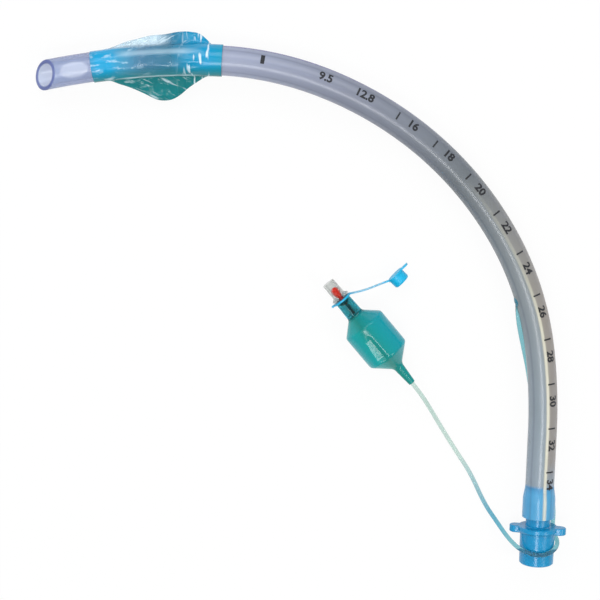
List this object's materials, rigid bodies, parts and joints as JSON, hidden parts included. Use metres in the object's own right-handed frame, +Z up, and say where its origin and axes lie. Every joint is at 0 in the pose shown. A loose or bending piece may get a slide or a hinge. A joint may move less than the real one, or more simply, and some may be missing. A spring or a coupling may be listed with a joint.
{
  "type": "cuffed endotracheal tube",
  "caption": "Curved breathing tube with bevelled tip and side eye, deflated cuff, tapered connector, thin pilot line, pilot balloon, sprung inflation valve and tethered cap.",
  "frame": {"origin": "middle of the bottom of the box round tube, cuff and connector, on the surface the tube lies on", "axes": "+Z up from the surface; +X to the right and +Y to the back as the picture shows the tube; its patient end is at -X +Y and its connector points to -Y"},
  "size_m": [0.2353, 0.2365, 0.0218],
  "materials": {
    "tube": "soft clear PVC, slightly hazy",
    "cuff": "thin clear blue film",
    "connector": "moulded translucent blue polypropylene",
    "pilot_line": "soft clear teal PVC",
    "pilot_balloon": "blown teal PVC film",
    "valve_housing": "clear polycarbonate",
    "valve_plunger": "moulded red acetal",
    "valve_seal": "moulded",
    "valve_spring": "drawn stainless wire",
    "valve_guide": "moulded",
    "cap_strap": "soft moulded blue PVC"
  },
  "bodies": {
    "set": {"tube": "tube", "cuff": "cuff", "connector": "connector", "pilot_line": "pilot_line", "pilot_balloon": "pilot_balloon", "valve_housing": "valve_housing", "valve_spring": "valve_spring", "valve_guide": "valve_guide", "cap_strap": "cap_strap"},
    "plunger": {"valve_plunger": "valve_plunger", "valve_seal": "valve_seal"}
  },
  "joints": [
    {"name": "valve_push", "type": "slide", "parent": "set", "child": "plunger", "axis": [0.6401, -0.7683, 0], "range_m": [0, 0.002], "stiffness_N_per_m": 300, "springref_m": -0.002, "deforming": ["valve_spring"]}
  ]
}
